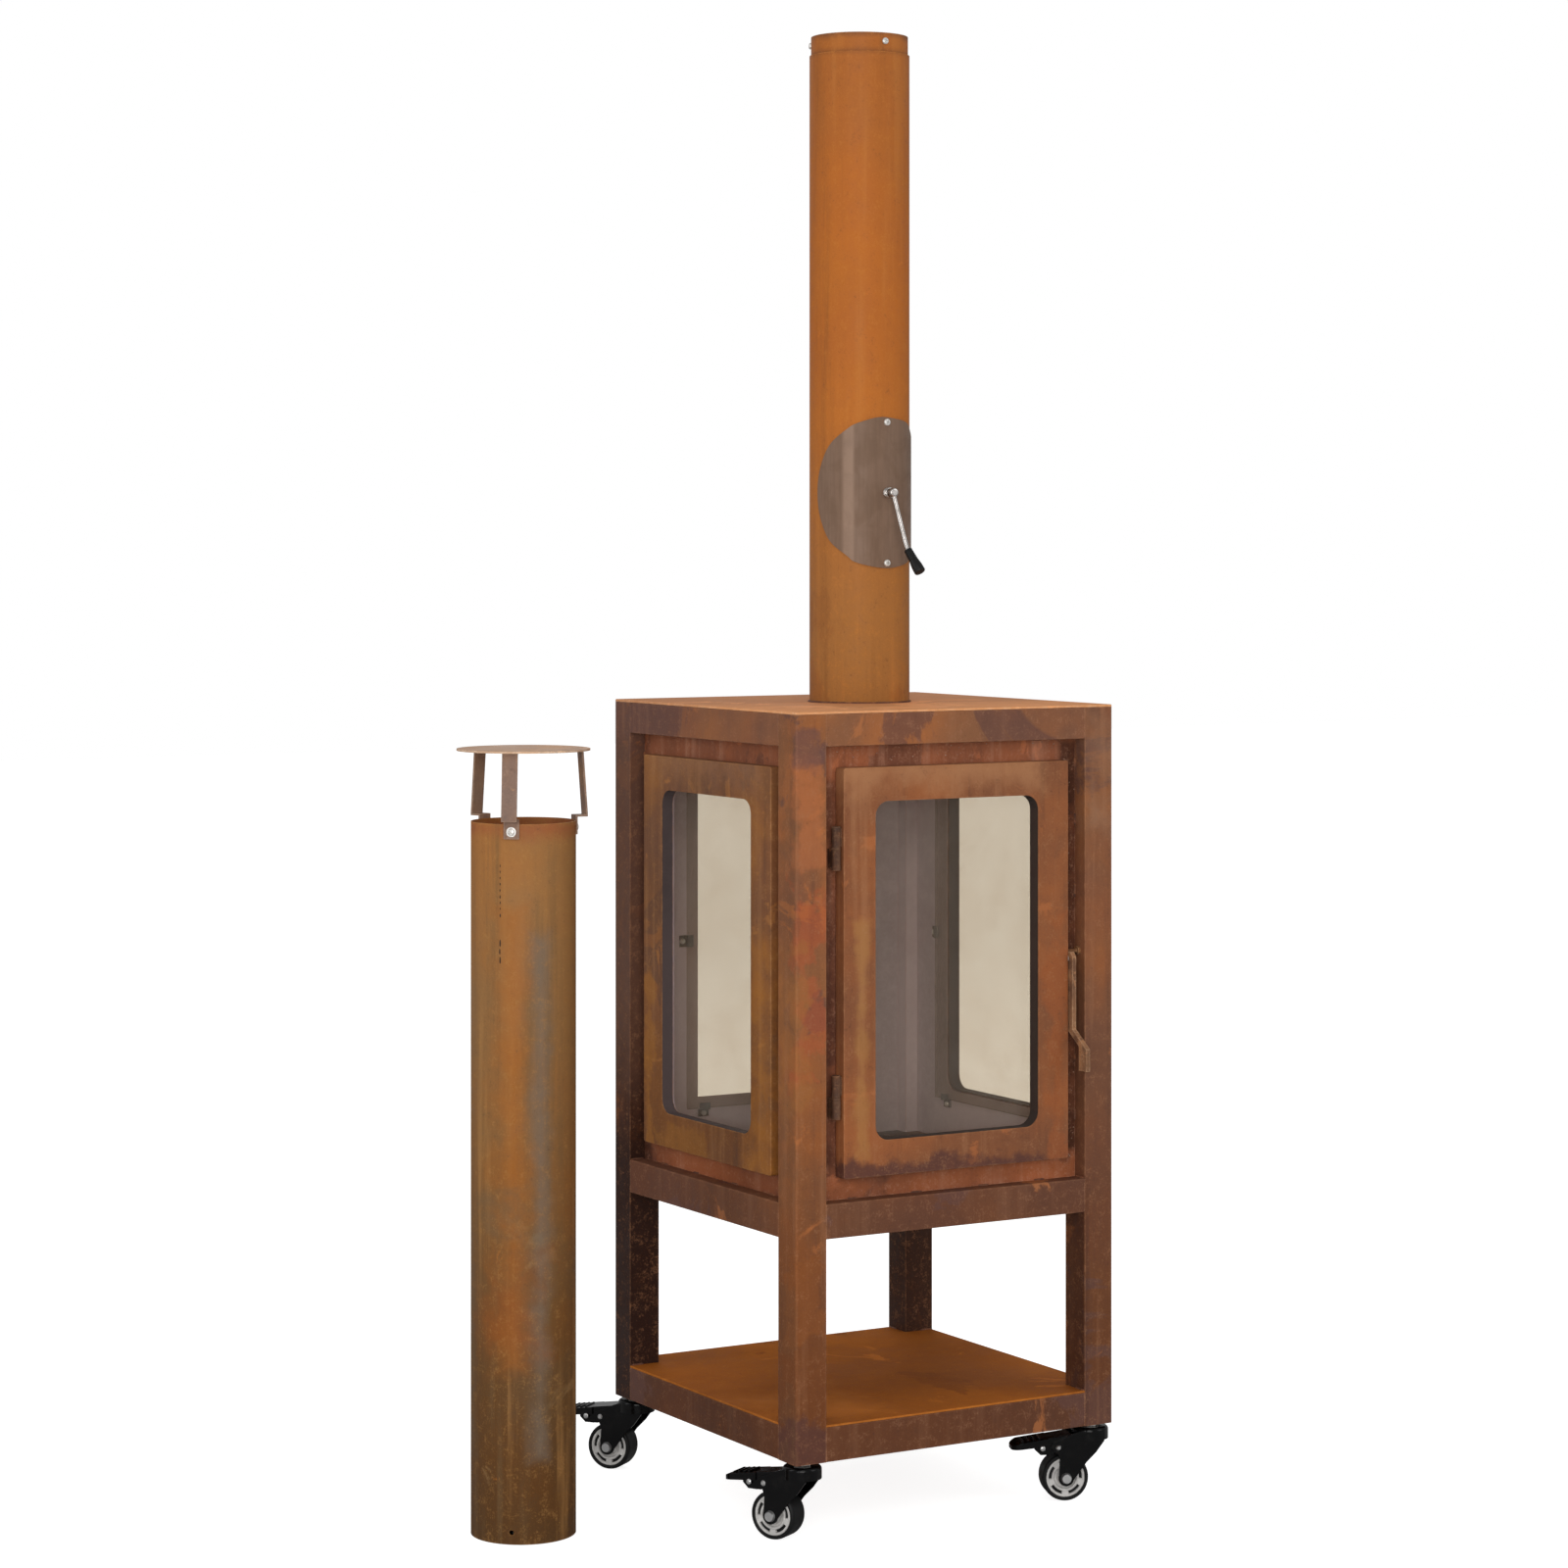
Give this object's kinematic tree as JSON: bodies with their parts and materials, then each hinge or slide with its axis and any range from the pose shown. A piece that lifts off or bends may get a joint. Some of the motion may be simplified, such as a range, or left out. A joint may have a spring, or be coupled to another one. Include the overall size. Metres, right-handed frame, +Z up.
{
  "type": "chiminea",
  "caption": "Tall square steel garden chiminea on braked casters, with a glazed firebox and hinged door, wood shelf, flue with damper, and a loose flue length with rain cap.",
  "frame": {"origin": "on the floor, under the centre of the square firebox", "axes": "+Z up along the flue, -Y is the door's side, the loose upper flue stands on the -X side"},
  "size_m": [0.6879, 0.4898, 1.5987],
  "materials": {
    "frame_rust": "weathered corten rust, satin, purple-brown patches",
    "plate_rust": "weathered corten rust, worn shine on edges",
    "wall_rust": "weathered corten rust",
    "firebox_rust": "sooted corten rust",
    "panel_rust": "ochre-brown corten rust",
    "door_rust": "orange-brown corten rust with run-off stains",
    "fitting_rust": "weathered corten rust",
    "flue_rust": "orange corten rust with upright streaks",
    "loose_flue_rust": "brown corten rust with olive-grey streaks",
    "cover_steel": "satin, lightly tarnished",
    "screw_steel": "zinc plated, satin",
    "clip_steel": "satin",
    "fire_glass": "clear ceramic glass, slightly amber",
    "seal_cord": "woven heat-proof cord",
    "chrome_rod": "polished",
    "black_grip": "black, satin",
    "caster_black": "gloss black enamel",
    "caster_steel": "zinc plated",
    "wheel_core": "light grey, satin",
    "tread_rubber": "black tread"
  },
  "bodies": {
    "body": {"back_wall": "wall_rust", "caster_stems": "screw_steel", "damper_cover": "cover_steel", "firebox_floor": "firebox_rust", "flue_screws": "screw_steel", "frame_posts": "frame_rust", "frame_rails": "frame_rust", "front_wall": "wall_rust", "hinge_frame_halves": "fitting_rust", "joint_sleeve": "flue_rust", "latch_keeper": "fitting_rust", "lower_flue": "flue_rust", "post_end_plates": "frame_rust", "shelf_plate": "plate_rust", "side_walls": "wall_rust", "side_window_frames": "panel_rust", "top_plate": "plate_rust", "wall_clip_screws": "screw_steel", "wall_glass": "fire_glass", "wall_glass_clips": "clip_steel"},
    "door": {"door_shell": "door_rust", "door_back_plate": "door_rust", "door_glass": "fire_glass", "door_glass_clips": "clip_steel", "door_clip_screws": "screw_steel", "door_seal": "seal_cord", "hinge_door_halves": "door_rust", "latch_bolt": "screw_steel"},
    "latch": {"latch_lever": "fitting_rust"},
    "damper": {"damper_disc": "cover_steel", "damper_spindle": "chrome_rod", "damper_spring": "chrome_rod", "damper_rod": "chrome_rod", "damper_grip": "black_grip"},
    "loose_flue": {"upper_flue": "loose_flue_rust", "rain_cap": "loose_flue_rust", "cap_straps": "loose_flue_rust", "strap_screws": "screw_steel"},
    "swivel_front_left": {"caster_fork_front_left": "caster_black", "caster_pins_front_left": "caster_steel"},
    "wheel_front_left": {"caster_wheel_front_left": "wheel_core", "caster_tyre_front_left": "tread_rubber"},
    "pedal_front_left": {"caster_pedal_front_left": "caster_black"},
    "swivel_front_right": {"caster_fork_front_right": "caster_black", "caster_pins_front_right": "caster_steel"},
    "wheel_front_right": {"caster_wheel_front_right": "wheel_core", "caster_tyre_front_right": "tread_rubber"},
    "pedal_front_right": {"caster_pedal_front_right": "caster_black"},
    "swivel_rear_left": {"caster_fork_rear_left": "caster_black", "caster_pins_rear_left": "caster_steel"},
    "wheel_rear_left": {"caster_wheel_rear_left": "wheel_core", "caster_tyre_rear_left": "tread_rubber"},
    "pedal_rear_left": {"caster_pedal_rear_left": "caster_black"},
    "swivel_rear_right": {"caster_fork_rear_right": "caster_black", "caster_pins_rear_right": "caster_steel"},
    "wheel_rear_right": {"caster_wheel_rear_right": "wheel_core", "caster_tyre_rear_right": "tread_rubber"},
    "pedal_rear_right": {"caster_pedal_rear_right": "caster_black"}
  },
  "joints": [
    {"name": "door_hinge", "type": "hinge", "parent": "body", "child": "door", "pos_m": [-0.148, -0.194, 0.4], "axis": [0, 0, -1], "range_deg": [0, 120]},
    {"name": "latch_turn", "type": "hinge", "parent": "door", "child": "latch", "pos_m": [0.1455, -0.195, 0.591], "axis": [1, 0, 0], "range_deg": [-60, 7.5]},
    {"name": "damper_turn", "type": "hinge", "parent": "body", "child": "damper", "pos_m": [0, 0, 1.095], "axis": [0, -1, 0], "range_deg": [0, 90]},
    {"name": "loose_flue_lift", "type": "slide", "parent": "body", "child": "loose_flue", "axis": [0, 0, 1], "range_m": [0, 1.6]},
    {"name": "swivel_front_left", "type": "hinge", "parent": "body", "child": "swivel_front_left", "pos_m": [-0.182, -0.182, 0.075], "axis": [0, 0, 1], "continuous": true},
    {"name": "wheel_front_left_spin", "type": "hinge", "parent": "swivel_front_left", "child": "wheel_front_left", "pos_m": [-0.19628, -0.15676, 0.0255], "axis": [-0.8704, -0.4924, 0], "continuous": true},
    {"name": "pedal_front_left_press", "type": "hinge", "parent": "swivel_front_left", "child": "pedal_front_left", "pos_m": [-0.20047, -0.14936, 0.059], "axis": [-0.8704, -0.4924, 0], "range_deg": [0, 15]},
    {"name": "swivel_front_right", "type": "hinge", "parent": "body", "child": "swivel_front_right", "pos_m": [0.182, -0.182, 0.075], "axis": [0, 0, 1], "continuous": true},
    {"name": "wheel_front_right_spin", "type": "hinge", "parent": "swivel_front_right", "child": "wheel_front_right", "pos_m": [0.15521, -0.1709, 0.0255], "axis": [-0.3827, -0.9239, 0], "continuous": true},
    {"name": "pedal_front_right_press", "type": "hinge", "parent": "swivel_front_right", "child": "pedal_front_right", "pos_m": [0.14736, -0.16765, 0.059], "axis": [-0.3827, -0.9239, 0], "range_deg": [0, 15]},
    {"name": "swivel_rear_left", "type": "hinge", "parent": "body", "child": "swivel_rear_left", "pos_m": [-0.182, 0.182, 0.075], "axis": [0, 0, 1], "continuous": true},
    {"name": "wheel_rear_left_spin", "type": "hinge", "parent": "swivel_rear_left", "child": "wheel_rear_left", "pos_m": [-0.19929, 0.20528, 0.0255], "axis": [-0.8028, -0.5962, 0], "continuous": true},
    {"name": "pedal_rear_left_press", "type": "hinge", "parent": "swivel_rear_left", "child": "pedal_rear_left", "pos_m": [-0.20436, 0.21211, 0.059], "axis": [-0.8028, -0.5962, 0], "range_deg": [0, 15]},
    {"name": "swivel_rear_right", "type": "hinge", "parent": "body", "child": "swivel_rear_right", "pos_m": [0.182, 0.182, 0.075], "axis": [0, 0, 1], "continuous": true},
    {"name": "wheel_rear_right_spin", "type": "hinge", "parent": "swivel_rear_right", "child": "wheel_rear_right", "pos_m": [0.15688, 0.1965, 0.0255], "axis": [-0.5, -0.866, 0], "continuous": true},
    {"name": "pedal_rear_right_press", "type": "hinge", "parent": "swivel_rear_right", "child": "pedal_rear_right", "pos_m": [0.14952, 0.20075, 0.059], "axis": [-0.5, -0.866, 0], "range_deg": [0, 15]}
  ]
}
